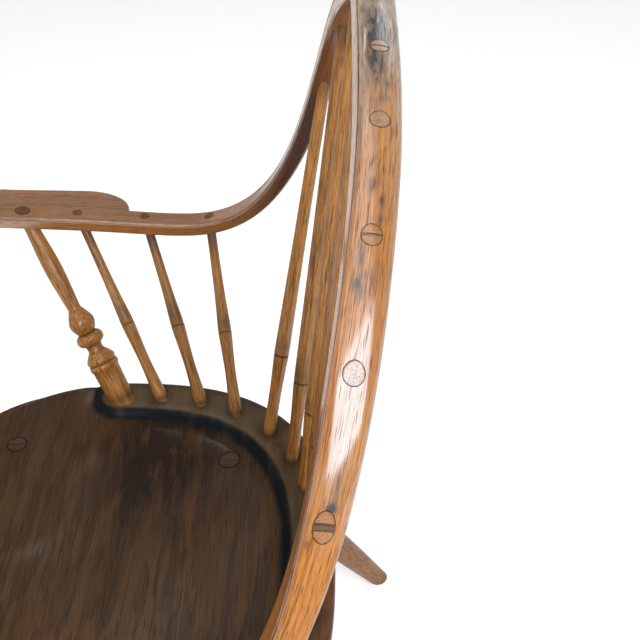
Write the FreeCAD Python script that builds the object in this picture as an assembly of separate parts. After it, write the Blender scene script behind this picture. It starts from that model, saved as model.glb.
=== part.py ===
import FreeCAD, Part
import math
import os

os.makedirs("parts", exist_ok=True)
V = FreeCAD.Vector

# A windsor armchair whose back bow and arms are one bent stick.
# Millimetres, +Z up, the chair faces -Y and +X is at the sitter's left.
# The origin is on the floor, midway between the four feet.

# Seat plank
deck_height = 430.0
seat_thickness = 44.0
seat_half_width = 246.0
seat_rear_depth = 235.0
seat_front_depth = 205.0
seat_middle_y = -37.0
seat_squareness = 2.67
edge_thickness = 20.0
underside_inset = 22.0

# Dished sitting area inside the raised deck that carries the spindles
deck_width = 46.0
deck_front_y = -66.0
deck_end_radius = 24.0
gutter_depth = 3.0
dish_depth = 12.0
dish_middle_y = 20.0
dish_half_width = 150.0
dish_half_length = 130.0
front_fall = 12.0
front_fall_start_y = -50.0
front_fall_length = 130.0
pommel_half_width = 45.0

# Bow and arms: half of the stick's middle line as spline poles, from the crest to the hand.
# A crest pole is (distance from the chair's middle, y, height above the deck).
# A side pole is the same, with its distance counted outward from the seat's side.
crest_poles = [
    (0.0, 216.5, 532.5),
    (62.0, 217.0, 526.0),
    (122.0, 215.5, 507.5),
    (177.0, 209.5, 477.0),
]
side_poles = [
    (-16.0, 201.0, 440.0),
    (20.0, 187.0, 376.0),
    (30.0, 165.0, 295.0),
    (38.0, 129.0, 221.0),
    (43.0, 72.0, 181.5),
    (51.0, -5.0, 181.0),
    (58.0, -95.0, 182.0),
    (60.0, -206.0, 182.0),
]
bow_thickness = 21.0
bow_depth = 24.0
bow_crown = 3.0
arm_width = 25.0
arm_thickness = 13.5
arm_crown = 0.6
back_lean = 12.0

# Distances along the stick from its crest: where it starts to flatten, and where it turns to the arm
flatten_distance = 200.0
bend_start_distance = 296.0
bend_end_distance = 523.0
section_spacing = 20.0

# Hand pads glued to the outside of the arms
pad_width = 36.0
pad_draft = 1.0
pad_lap = 2.0
pad_start_y = -23.0
pad_full_y = -76.0
pad_cheek_y = -158.0
hand_end_y = -202.0

# Spindles
spindle_inset = 24.0
spindle_tenon_depth = 26.0
spindle_waist_height = 42.0
spindle_top_straight = 30.0
node_groove_width = 2.0
node_groove_depth = 0.8
back_foot_radius = 6.8
back_waist_radius = 6.3
back_node_radius = 7.8
back_node_height = 96.0
back_top_radius = 5.6
arm_foot_radius = 7.5
arm_waist_radius = 5.8
arm_node_radius = 7.2
arm_node_height = 92.0
arm_top_radius = 4.8

# Feet of the spindles and post: distance along the deck's line of feet from the chair's middle.
# Tops of the back spindles: distance along the stick from its crest.
back_spindle_foot_distance = (19.0, 57.0, 95.5, 136.0, 182.0)
back_spindle_top_distance = (46.5, 104.0, 172.0, 241.5, 322.5)
arm_spindle_foot_distance = (230.0, 272.5, 318.0)
arm_spindle_top_y = (65.0, -2.5, -73.0)
post_foot_distance = 363.5
post_top_y = -131.0

# Arm posts
post_tenon_radius = 10.0
post_tenon_depth = 30.0
post_foot_radius = 14.0
post_shaft_radius = 15.0
post_shaft_length = 36.0
post_bead_width = 8.0
post_bead_height = 1.6
post_dome_radius = 16.2
post_dome_length = 14.0
post_neck_radius = 9.4
post_neck_length = 8.0
post_neck_hollow = 0.9
post_ring_width = 14.5
post_ring_height = 5.8
post_ball_radius = 14.1
post_ball_length = 29.5
post_slim_radius = 7.0
post_swell_radius = 9.5
post_top_tenon_radius = 7.5

# Legs
feet_length = 524.0
rear_foot_outset = 41.0
front_foot_outset = -6.0
rear_leg_side_inset = 113.0
rear_leg_back_inset = 115.0
front_leg_side_inset = 88.0
front_leg_front_inset = 100.0
leg_foot_radius = 12.0
leg_shaft_radius = 19.0
leg_ring_width = 6.0
leg_lower_ring_height = 2.5
leg_upper_ring_height = 3.5
leg_neck_radius = 12.0
leg_bobbin_radius = 19.0
leg_bobbin_length = 54.0
leg_vase_radius = 20.0
leg_vase_length = 120.0
leg_throat_radius = 14.0
leg_tenon_radius = 12.5
leg_tenon_taper = 2.5
leg_shoulder_below_deck = 52.0

# Stretchers
side_stretcher_height = 165.0
stretcher_end_radius = 8.0
stretcher_swell_radius = 13.5
cross_swell_radius = 14.0
stretcher_bead_width = 8.0
stretcher_bead_height = 1.5
stretcher_tenon_radius = 7.0
stretcher_tenon_depth = 14.0
mortise_spare = 1.0

# Wedges driven into the ends of through tenons
wedge_depth = 11.0
wedge_top = 3.0
wedge_tip = 0.6
wedged_back_spindles = (0, 2, 4)

# Fit of a tenon in its hole, on the radius and at the bottom
fit_clearance = 0.05
socket_clearance = 0.3

# How far a cutting shape runs past what it cuts
overshoot = 40.0
cutter_margin = 60.0


def ease(value, start, end):
    """A smooth step from 0 at start to 1 at end."""
    part = min(1.0, max(0.0, (value - start) / (end - start)))
    return part * part * (3.0 - 2.0 * part)


def blend(first, second, share):
    return first + (second - first) * share


def mirrored(shape):
    return shape.mirror(V(0, 0, 0), V(1, 0, 0))


def oriented(shape, foot, top):
    """Stand a shape made along +Z on the line from foot to top."""
    placed = shape.copy()
    placed.Placement = FreeCAD.Placement(foot, FreeCAD.Rotation(V(0, 0, 1), top - foot))
    return placed


def rod(foot, top, radius, beyond=0.0):
    """A plain cylinder along the line from foot to top, run past both ends."""
    along = (top - foot).normalize()
    return Part.makeCylinder(radius, (top - foot).Length + 2.0 * beyond, foot - along * beyond, along)


def through_hole(foot, top, radius):
    """A hole through the stick for a tenon, centred on the stick's middle."""
    return rod(inside_along(top, foot, overshoot), top, radius + fit_clearance, overshoot)


def turned(start_height, start_radius, steps):
    """A lathe-turned solid about +Z, built from tapers, beads, coves and flowing curves."""
    height = start_height
    radius = start_radius
    edges = [Part.LineSegment(V(0, 0, height), V(radius, 0, height)).toShape()]
    for step in steps:
        kind = step[0]
        first = V(radius, 0, height)
        if kind == "flow":
            points = [first] + [V(r, 0, height + rise) for rise, r in step[1]]
            curve = Part.BSplineCurve()
            curve.interpolate(points)
            edges.append(curve.toShape())
            last = points[-1]
        elif kind == "taper":
            last = V(step[2], 0, height + step[1])
            edges.append(Part.LineSegment(first, last).toShape())
        else:
            out = step[2] if kind == "bead" else -step[2]
            last = V(radius, 0, height + step[1])
            crown = V(radius + out, 0, height + step[1] / 2.0)
            edges.append(Part.Arc(first, crown, last).toShape())
        radius = last.x
        height = last.z
    edges.append(Part.LineSegment(V(radius, 0, height), V(0, 0, height)).toShape())
    edges.append(Part.LineSegment(V(0, 0, height), V(0, 0, start_height)).toShape())
    face = Part.Face(Part.Wire(edges))
    return face.revolve(V(0, 0, 0), V(0, 0, 1), 360.0)


def run_length(steps):
    """Total length of a list of turned steps."""
    return sum(step[1][-1][0] if step[0] == "flow" else step[1] for step in steps)


# Seat
def outline_point(angle, inset):
    """A point of the seat's rounded outline, drawn in by inset, angle counted from +X."""
    across = seat_half_width - inset
    along = (seat_rear_depth if math.sin(angle) > 0 else seat_front_depth) - inset
    power = 2.0 / seat_squareness
    x = across * math.copysign(abs(math.cos(angle)) ** power, math.cos(angle))
    y = along * math.copysign(abs(math.sin(angle)) ** power, math.sin(angle))
    return x, seat_middle_y + y


def outline_wire(inset, height):
    count = 72
    points = []
    for i in range(count):
        x, y = outline_point(2.0 * math.pi * (i + 0.5) / count, inset)
        points.append(V(x, y, height))
    curve = Part.BSplineCurve()
    curve.interpolate(points, PeriodicFlag=True)
    return Part.Wire(curve.toShape())


def deck_point(distance):
    """A point of the line of feet, so far along it from the chair's middle to the left."""
    count = 4000
    point = V(*outline_point(math.pi / 2.0, spindle_inset), deck_height)
    left = distance
    for i in range(1, count + 1):
        angle = math.pi / 2.0 - math.pi * i / count
        following = V(*outline_point(angle, spindle_inset), deck_height)
        stride = (following - point).Length
        if stride >= left:
            return point + (following - point) * (left / stride)
        left -= stride
        point = following
    return point


def dish_fall(x, y):
    """How far the dished top lies below the deck: a bowl behind, two thigh hollows in front."""
    bowl = math.exp(-((x / dish_half_width) ** 2) - ((y - dish_middle_y) / dish_half_length) ** 2)
    front = ease(-y, -front_fall_start_y, -front_fall_start_y + front_fall_length)
    pommel = math.exp(-((x / pommel_half_width) ** 2))
    return gutter_depth + dish_depth * bowl + front_fall * front * (1.0 - 0.7 * pommel)


def dish_cutter():
    """Everything above the dished top, inside the deck and over the front edge."""
    reach = seat_half_width + cutter_margin
    steps = 14
    grid = []
    for i in range(steps + 1):
        x = blend(-reach, reach, i / steps)
        column = []
        for j in range(steps + 1):
            y = seat_middle_y + blend(-reach, reach, j / steps)
            column.append(V(x, y, deck_height - dish_fall(x, y)))
        grid.append(column)
    surface = Part.BSplineSurface()
    surface.interpolate(grid)
    above = surface.toShape().extrude(V(0, 0, seat_thickness + overshoot))
    inner = [V(*outline_point(angle, deck_width), deck_height) for angle in deck_angles()]
    rear = Part.BSplineCurve()
    rear.interpolate(inner)
    left_end, right_end = inner[-1], inner[0]
    corner = deck_end_radius
    right_corner = Part.Arc(
        right_end + V(corner, -corner, 0),
        right_end + V(corner * (1 - math.sqrt(0.5)), -corner * math.sqrt(0.5), 0),
        right_end)
    left_corner = Part.Arc(
        left_end,
        left_end + V(-corner * (1 - math.sqrt(0.5)), -corner * math.sqrt(0.5), 0),
        left_end + V(-corner, -corner, 0))
    far = reach - cutter_margin / 4.0
    low_y = right_end.y - corner
    front_y = seat_middle_y - far
    around = [
        left_end + V(-corner, -corner, 0),
        V(-far, low_y, deck_height),
        V(-far, front_y, deck_height),
        V(far, front_y, deck_height),
        V(far, low_y, deck_height),
        right_end + V(corner, -corner, 0),
    ]
    edges = [right_corner.toShape(), rear.toShape(), left_corner.toShape()]
    for first, second in zip(around, around[1:]):
        edges.append(Part.LineSegment(first, second).toShape())
    area = Part.Face(Part.Wire(Part.__sortEdges__(edges)))
    area.translate(V(0, 0, -seat_thickness))
    return area.extrude(V(0, 0, seat_thickness + overshoot)).common(above)


def deck_angles():
    """Angles of the deck's inner line, from the right end round the back to the left end."""
    along = seat_front_depth - deck_width
    drop = seat_middle_y - (deck_front_y + deck_end_radius)
    start = -math.asin((max(drop, 0.0) / along) ** (seat_squareness / 2.0))
    count = 40
    return [blend(start, math.pi - start, i / count) for i in range(count + 1)]


def seat_blank():
    shoulder = deck_height - edge_thickness
    wires = [
        outline_wire(underside_inset, deck_height - seat_thickness),
        outline_wire(0.0, shoulder),
        outline_wire(0.0, deck_height),
    ]
    return Part.makeLoft(wires, True, True)


# Bow and arms
def bow_curve():
    half = [V(x, y, deck_height + h) for x, y, h in crest_poles]
    half += [V(seat_half_width + x, y, deck_height + h) for x, y, h in side_poles]
    poles = [V(-pole.x, pole.y, pole.z) for pole in reversed(half[1:])] + half
    spans = len(poles) - 3
    knots = [float(i) for i in range(spans + 1)]
    counts = [4] + [1] * (spans - 1) + [4]
    curve = Part.BSplineCurve()
    curve.buildFromPolesMultsKnots(poles, counts, knots, False, 3)
    return curve


stick = bow_curve()
stick_middle = stick.LastParameter / 2.0
back_front = V(0, -math.cos(math.radians(back_lean)), math.sin(math.radians(back_lean)))


def stick_frame(distance):
    """Middle, outward and facing directions of the stick: the bow's front becomes the arm's top."""
    parameter = stick_parameter(distance)
    turn = ease(abs(distance), bend_start_distance, bend_end_distance)
    along = V(*stick.tangent(parameter)[0])
    facing = back_front * (1.0 - turn) + V(0, 0, 1) * turn
    facing = (facing - along * facing.dot(along)).normalize()
    outward = facing.cross(along).normalize()
    return stick.value(parameter), outward, facing


def stick_section(distance):
    """The stick's section: round-backed in the bow, wide and flat in the arms."""
    middle, outward, facing = stick_frame(distance)
    share = ease(abs(distance), flatten_distance, bend_end_distance)
    half_thick = blend(bow_thickness, arm_width, share) / 2.0
    half_deep = blend(bow_depth, arm_thickness, share) / 2.0
    crown = blend(bow_crown, arm_crown, share)
    front_in = middle - outward * half_thick + facing * half_deep
    front_out = middle + outward * half_thick + facing * half_deep
    back_out = middle + outward * half_thick - facing * half_deep
    back_in = middle - outward * half_thick - facing * half_deep
    edges = [
        Part.LineSegment(front_in, front_out).toShape(),
        Part.Arc(front_out, middle + outward * (half_thick + crown), back_out).toShape(),
        Part.LineSegment(back_out, back_in).toShape(),
        Part.LineSegment(back_in, front_in).toShape(),
    ]
    return Part.Wire(edges)


def bow_blank():
    """The stick as short straight lengths between sections spaced evenly along it."""
    half = stick.length() / 2.0
    count = int(half / section_spacing)
    wires = []
    for i in range(-count, count + 1):
        wires.append(stick_section(half * i / count))
    return Part.makeLoft(wires, True, True)


def stick_parameter(distance):
    """The stick's parameter at a distance along it from the crest, plus to the sitter's left."""
    if abs(distance) >= stick.length() / 2.0:
        return stick.LastParameter if distance > 0 else stick.FirstParameter
    return stick.parameterAtDistance(distance, stick_middle)


def arm_parameter(y):
    """Where the left arm's middle line passes a given y."""
    low = stick_parameter(bend_start_distance)
    high = stick.LastParameter
    for _ in range(60):
        middle = (low + high) / 2.0
        if stick.value(middle).y > y:
            low = middle
        else:
            high = middle
    return low


def hand_prism():
    """The hand's outline seen from above, as a tall block over the left arm's end."""
    arm_x = stick.value(arm_parameter(pad_full_y)).x
    outer_x = arm_x + arm_width / 2.0
    pad_x = outer_x + pad_width
    inside_x = arm_x - arm_width
    start = V(outer_x - pad_lap, pad_start_y, 0)
    full = V(pad_x - pad_draft, pad_full_y, 0)
    cheek = V(pad_x, pad_cheek_y, 0)
    nose = V(blend(inside_x, pad_x, 0.55), hand_end_y, 0)
    inner = V(inside_x, pad_cheek_y, 0)
    swell = Part.BSplineCurve()
    rise = []
    for i in range(9):
        turn = math.pi / 2.0 * i / 8.0
        rise.append(V(blend(start.x, full.x, math.sin(turn)), blend(full.y, start.y, math.cos(turn)), 0))
    swell.interpolate(rise + [cheek])
    back = V(inside_x, pad_start_y, 0)
    edges = [
        swell.toShape(),
        Part.Arc(cheek, nose, inner).toShape(),
        Part.LineSegment(inner, back).toShape(),
        Part.LineSegment(back, start).toShape(),
    ]
    face = Part.Face(Part.Wire(edges))
    return face.extrude(V(0, 0, deck_height * 3.0))


def hand_trim(prism):
    """What is cut off the left arm's end to round it to the hand's outline."""
    edge = seat_half_width * 2.0
    block = Part.makeBox(edge, edge, deck_height * 3.0, V(0, pad_cheek_y - edge, 0))
    return block.cut(prism)


def hand_pad(prism, blank):
    parameter = arm_parameter(pad_full_y)
    middle = stick.value(parameter)
    slab = Part.makeBox(
        seat_half_width * 2.0, seat_half_width * 2.0, arm_thickness,
        V(middle.x, hand_end_y - overshoot, middle.z - arm_thickness / 2.0))
    pieces = prism.common(slab).cut(blank).Solids
    return max(pieces, key=lambda piece: piece.Volume)


# Spindles, posts, legs and stretchers
def trim_to(blank, piece, top):
    """Cut a through tenon flush with the outside of the stick."""
    pieces = piece.cut(blank).Solids
    tips = [tip for tip in pieces if tip.CenterOfMass.distanceToPoint(top) < overshoot]
    for tip in tips:
        piece = piece.cut(tip)
    return max(piece.Solids, key=lambda solid: solid.Volume)


def spindle_blank(length, foot, waist, node, node_height, top):
    """A spindle from radii: foot, slim waist, swelling with a scored ring, slender top."""
    lower = node_height - node_groove_width / 2.0
    upper = length - node_height - spindle_top_straight - node_groove_width / 2.0
    return turned(-spindle_tenon_depth, foot, [
        ("taper", spindle_tenon_depth, foot),
        ("flow", [(spindle_waist_height, waist), (lower, node)]),
        ("cove", node_groove_width, node_groove_depth),
        ("flow", [(upper * 0.45, blend(node, top, 0.7)), (upper, top)]),
        ("taper", spindle_top_straight + overshoot, top),
    ])


def socket(foot, top, radius, depth):
    """A blind hole in the deck for a tenon."""
    along = (top - foot).normalize()
    return Part.makeCylinder(
        radius + fit_clearance, depth + socket_clearance + overshoot,
        foot - along * (depth + socket_clearance), along)


def post_blank(length):
    """The arm post: plain shaft, bead, dome, neck, thick ring, ball and a slim swelling top."""
    ball = [
        (post_ball_length * 0.18, blend(post_slim_radius, post_ball_radius, 0.75)),
        (post_ball_length * 0.42, post_ball_radius),
        (post_ball_length * 0.7, blend(post_slim_radius, post_ball_radius, 0.63)),
        (post_ball_length, post_slim_radius),
    ]
    dome = [
        (post_dome_length * 0.2, post_dome_radius),
        (post_dome_length * 0.62, blend(post_neck_radius, post_dome_radius, 0.63)),
        (post_dome_length, post_neck_radius),
    ]
    steps = [
        ("taper", post_shaft_length, post_shaft_radius),
        ("bead", post_bead_width, post_bead_height),
        ("flow", dome),
        ("cove", post_neck_length, post_neck_hollow),
        ("bead", post_ring_width, post_ring_height),
        ("flow", ball),
    ]
    slim = length - run_length(steps) - arm_thickness
    tenon = [
        ("taper", post_tenon_depth - post_foot_radius, post_tenon_radius),
        ("taper", 0.0, post_foot_radius),
        ("taper", post_foot_radius, post_foot_radius),
    ]
    top = [
        ("flow", [(slim * 0.5, post_swell_radius), (slim, post_top_tenon_radius)]),
        ("taper", arm_thickness + overshoot, post_top_tenon_radius),
    ]
    return turned(-post_tenon_depth, post_tenon_radius, tenon + steps + top)


def leg_blank(length):
    """A baluster leg from the floor up: tapered foot, ring, bobbin, ring, vase and tenon."""
    bobbin = [
        (leg_bobbin_length * 0.08, blend(leg_neck_radius, leg_shaft_radius, 0.3)),
        (leg_bobbin_length * 0.22, leg_neck_radius),
        (leg_bobbin_length * 0.45, blend(leg_neck_radius, leg_bobbin_radius, 0.8)),
        (leg_bobbin_length * 0.7, leg_bobbin_radius),
        (leg_bobbin_length, leg_neck_radius),
    ]
    vase = [
        (leg_vase_length * 0.05, leg_neck_radius),
        (leg_vase_length * 0.28, blend(leg_neck_radius, leg_vase_radius, 0.8)),
        (leg_vase_length * 0.48, leg_vase_radius),
        (leg_vase_length * 0.75, blend(leg_throat_radius, leg_vase_radius, 0.25)),
        (leg_vase_length * 0.95, leg_throat_radius),
        (leg_vase_length, leg_tenon_radius),
    ]
    turning = [
        ("bead", leg_ring_width, leg_lower_ring_height),
        ("flow", bobbin),
        ("bead", leg_ring_width, leg_upper_ring_height),
        ("flow", vase),
    ]
    shaft = length - leg_shoulder_below_deck - run_length(turning)
    foot = [("flow", [
        (overshoot, leg_foot_radius),
        (overshoot + shaft * 0.7, blend(leg_foot_radius, leg_shaft_radius, 0.8)),
        (overshoot + shaft, leg_shaft_radius),
    ])]
    tenon = [("taper", leg_shoulder_below_deck + overshoot, leg_tenon_radius - leg_tenon_taper)]
    return turned(-overshoot, leg_foot_radius, foot + turning + tenon)


def leg_socket(foot, top):
    length = (top - foot).Length
    start = length - leg_shoulder_below_deck
    taper = turned(start, leg_tenon_radius + fit_clearance, [
        ("taper", leg_shoulder_below_deck + overshoot, leg_tenon_radius - leg_tenon_taper + fit_clearance)])
    return oriented(taper, foot, top)


def stretcher_between(first, second, swell):
    """A turned stretcher whose tenons run past its two ends, swelling to the middle."""
    half = (second - first).Length / 2.0 - stretcher_tenon_depth
    slope = half - stretcher_bead_width / 2.0
    shoulder = blend(stretcher_end_radius, swell, 0.4)
    blank = turned(0.0, stretcher_tenon_radius, [
        ("taper", stretcher_tenon_depth, stretcher_tenon_radius),
        ("taper", 0.0, stretcher_end_radius),
        ("flow", [(slope * 0.5, shoulder), (slope, swell)]),
        ("bead", stretcher_bead_width, stretcher_bead_height),
        ("flow", [(slope * 0.5, shoulder), (slope, stretcher_end_radius)]),
        ("taper", 0.0, stretcher_tenon_radius),
        ("taper", stretcher_tenon_depth, stretcher_tenon_radius),
    ])
    return oriented(blank, first, second)


def mortise(first, second, radius):
    """Holes for both ends of a stretcher."""
    return rod(first, second, radius + fit_clearance, mortise_spare)


def wedge_blank(foot, end, across, reach):
    """A thin wedge in a tenon's end: it lies across the grain, thick end outward."""
    along = (end - foot).normalize()
    across = (across - along * across.dot(along)).normalize()
    thick = along.cross(across)
    corners = []
    for depth, width in ((-wedge_depth, wedge_tip), (overshoot / 2.0, wedge_top)):
        for side in (-0.5, 0.5):
            corners.append(end + along * depth + thick * (side * width) - across * reach)
    order = [corners[0], corners[1], corners[3], corners[2], corners[0]]
    face = Part.Face(Part.makePolygon(order))
    return face.extrude(across * (2.0 * reach))


def at_height(foot, top, height):
    return foot + (top - foot) * ((height - foot.z) / (top.z - foot.z))


def inside_along(first, second, distance):
    return first + (second - first).normalize() * distance


pieces = {}
stick_blank = bow_blank()
dish = dish_cutter()
seat = seat_blank().cut(dish)
bow_holes = []
seat_holes = []
bow_wedges = []
post_wedges = []
leg_wedges = []

# Left-hand spindles of the back, counted from the middle, and of the arm, counted from the back
back_radii = (back_foot_radius, back_waist_radius, back_node_radius, back_node_height, back_top_radius)
arm_radii = (arm_foot_radius, arm_waist_radius, arm_node_radius, arm_node_height, arm_top_radius)
left_spindles = {}
for i, distance in enumerate(back_spindle_foot_distance):
    parameter = stick_parameter(back_spindle_top_distance[i])
    wedged = i in wedged_back_spindles
    left_spindles["back_spindle_%d" % (i + 1)] = (deck_point(distance), parameter, back_radii, wedged)
for i, distance in enumerate(arm_spindle_foot_distance):
    parameter = arm_parameter(arm_spindle_top_y[i])
    left_spindles["arm_spindle_%d" % (i + 1)] = (deck_point(distance), parameter, arm_radii, False)

for name, (foot, parameter, radii, wedged) in left_spindles.items():
    top = stick.value(parameter)
    piece = oriented(spindle_blank((top - foot).Length, *radii), foot, top)
    piece = trim_to(stick_blank, piece, inside_along(top, foot, -overshoot / 2.0))
    if wedged:
        outside = inside_along(top, foot, -bow_thickness / 2.0)
        wedge = wedge_blank(foot, outside, back_front, radii[-1] * 2.0)
        bow_wedges.append(piece.common(wedge).Solids[0])
        piece = piece.cut(wedge)
    pieces["left_" + name] = piece
    bow_holes.append(through_hole(foot, top, radii[-1]))
    seat_holes.append(socket(foot, top, radii[0], spindle_tenon_depth))

# Left arm post, scribed to the deck around its tenon
post_foot = deck_point(post_foot_distance)
post_top = stick.value(arm_parameter(post_top_y))
post = oriented(post_blank((post_top - post_foot).Length), post_foot, post_top)
post = trim_to(stick_blank, post, inside_along(post_top, post_foot, -overshoot / 2.0))
post_end = inside_along(post_top, post_foot, -arm_thickness / 2.0)
post_wedge = wedge_blank(post_foot, post_end, V(1, 0, 0), post_top_tenon_radius * 2.0)
post_wedges.append(post.common(post_wedge).Solids[0])
post_socket = socket(post_foot, post_top, post_tenon_radius, post_tenon_depth)
post = post.cut([post_wedge, seat.cut(post_socket)])
pieces["left_arm_post"] = max(post.Solids, key=lambda solid: solid.Volume)
bow_holes.append(through_hole(post_foot, post_top, post_top_tenon_radius))
seat_holes.append(post_socket)

# Left legs, cut flat at the floor and flush with the dished seat
rear_leg_y = seat_middle_y + seat_rear_depth - rear_leg_back_inset
front_leg_y = seat_middle_y - seat_front_depth + front_leg_front_inset
leg_lines = {
    "rear": (V(seat_half_width + rear_foot_outset, feet_length / 2.0, 0),
             V(seat_half_width - rear_leg_side_inset, rear_leg_y, deck_height)),
    "front": (V(seat_half_width + front_foot_outset, -feet_length / 2.0, 0),
              V(seat_half_width - front_leg_side_inset, front_leg_y, deck_height)),
}
floor_reach = seat_half_width + feet_length
floor_block = Part.makeBox(
    2.0 * floor_reach, 2.0 * floor_reach, 2.0 * overshoot, V(-floor_reach, -floor_reach, -2.0 * overshoot))
left_legs = {}
for name, (foot, top) in leg_lines.items():
    leg = oriented(leg_blank((top - foot).Length), foot, top)
    leg = leg.cut(floor_block).cut(dish)
    leg = max(leg.Solids, key=lambda solid: solid.Volume)
    wedge_seat = V(top.x, top.y, deck_height - dish_fall(top.x, top.y))
    wedge = wedge_blank(foot, wedge_seat, V(0, 1, 0), leg_tenon_radius * 2.0)
    leg_wedges.append(leg.common(wedge).Solids[0])
    left_legs[name] = leg.cut(wedge)
    seat_holes.append(leg_socket(foot, top))

# Left side stretcher and its mortises in the legs
rear_joint = at_height(*leg_lines["rear"], side_stretcher_height)
front_joint = at_height(*leg_lines["front"], side_stretcher_height)
left_side = stretcher_between(rear_joint, front_joint, stretcher_swell_radius)
side_hole = mortise(rear_joint, front_joint, stretcher_tenon_radius)
for name, leg in left_legs.items():
    pieces["%s_left_leg" % name] = leg.cut(side_hole).cut(left_side)

# Cross stretcher between the two side stretchers
cross_left = (rear_joint + front_joint) * 0.5
cross_right = V(-cross_left.x, cross_left.y, cross_left.z)
cross = stretcher_between(cross_left, cross_right, cross_swell_radius)
cross_hole = mortise(cross_left, cross_right, stretcher_tenon_radius)
pieces["left_side_stretcher"] = left_side.cut(cross_hole).cut(cross)

# Hand pad
prism = hand_prism()
pieces["left_hand_pad"] = hand_pad(prism, stick_blank)

# Mirror the left side
for name in list(pieces):
    pieces[name.replace("left", "right")] = mirrored(pieces[name])

# Pieces that cross the middle
trim = hand_trim(prism)
for cut in [trim] + bow_holes:
    stick_blank = stick_blank.cut([cut, mirrored(cut)])
for hole in seat_holes:
    seat = seat.cut([hole, mirrored(hole)])
pieces["seat"] = seat
pieces["bow_and_arms"] = stick_blank
pieces["cross_stretcher"] = cross
for name, wedges in (("bow_wedges", bow_wedges), ("post_wedges", post_wedges), ("leg_wedges", leg_wedges)):
    pieces[name] = Part.Compound(wedges + [mirrored(wedge) for wedge in wedges])

for name, shape in pieces.items():
    shape.exportStep("parts/%s.step" % name)
    print(name, len(shape.Solids), "solid", round(shape.Volume / 1000.0, 2), "cm3", shape.isValid())
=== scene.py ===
import math

import bpy
import numpy as np
from mathutils import Matrix, Vector


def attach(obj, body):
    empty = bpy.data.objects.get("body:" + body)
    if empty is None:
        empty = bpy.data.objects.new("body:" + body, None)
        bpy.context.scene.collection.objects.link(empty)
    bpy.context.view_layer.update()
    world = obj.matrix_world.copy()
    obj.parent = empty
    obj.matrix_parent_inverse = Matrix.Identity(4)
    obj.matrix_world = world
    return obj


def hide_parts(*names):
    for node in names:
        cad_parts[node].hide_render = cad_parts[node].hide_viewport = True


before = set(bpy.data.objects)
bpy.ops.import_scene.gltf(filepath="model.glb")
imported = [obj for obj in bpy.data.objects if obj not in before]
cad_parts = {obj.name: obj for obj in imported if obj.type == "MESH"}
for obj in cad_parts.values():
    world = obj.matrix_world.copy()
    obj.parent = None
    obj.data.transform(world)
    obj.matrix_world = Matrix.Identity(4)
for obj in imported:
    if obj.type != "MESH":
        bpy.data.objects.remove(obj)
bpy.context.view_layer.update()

print("frame loaded,", len(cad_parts), "pieces")


# maths on whole arrays
def limit(value):  # kept between 0 and 1
    return np.clip(value, 0, 1)


def ease(value, start, end):  # smooth step, 0 at start and 1 at end
    share = limit((value - start) / (end - start))
    return share * share * (3 - 2 * share)


def hump(value, middle, width, strength=1.0):  # bell curve, as high as strength at the middle
    return strength * np.exp(-((value - middle) / width) ** 2)


def blend(first, second, share):  # first at share 0, second at share 1
    return first + (second - first) * share


def unit(vectors):
    return vectors / np.linalg.norm(vectors, axis=-1, keepdims=True)


def dot(first, second):
    return np.sum(first * second, axis=-1)


def triples(x, y, z):  # arrays or numbers, side by side
    return np.stack(np.broadcast_arrays(x, y, z), axis=-1)


def carry(direction, amount):  # the direction times each amount
    return direction * amount[..., None]


def circle(count):  # angles all the way round
    return np.linspace(0, 2 * math.pi, count, endpoint=False)


# meshes: a patch is a grid of points, closed round its columns and capped at both ends
maskNames = ("stain", "soot", "wear", "shade", "dry")
creaseAngle = math.radians(48)  # sharper edges stay crisp


def patch(points, grain, finish=0, **masks):
    shape = points.shape[:2]
    masks = {mask: np.broadcast_to(masks.get(mask, 0.0), shape) for mask in maskNames}
    turn = slice(None) if volumeOf(points) > 0 else slice(None, None, -1)  # faces look outward
    return dict(points=points[:, turn], grain=grain[:, turn], finish=finish,
                masks={mask: layer[:, turn] for mask, layer in masks.items()})


def volumeOf(points):  # signed volume inside a patch, summed over its faces
    here = points - points.mean(axis=(0, 1))
    after = np.roll(here, -1, axis=1)
    walls = dot(here[:-1], np.cross(after[:-1], after[1:]) + np.cross(after[1:], here[1:])).sum()
    low = dot(here[0].mean(axis=0), np.cross(after[0], here[0])).sum()
    high = dot(here[-1].mean(axis=0), np.cross(here[-1], after[-1])).sum()
    return walls + low + high


def placed(name, data):  # a new object in the scene
    made = bpy.data.objects.new(name, data)
    bpy.context.scene.collection.objects.link(made)
    return made


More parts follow.
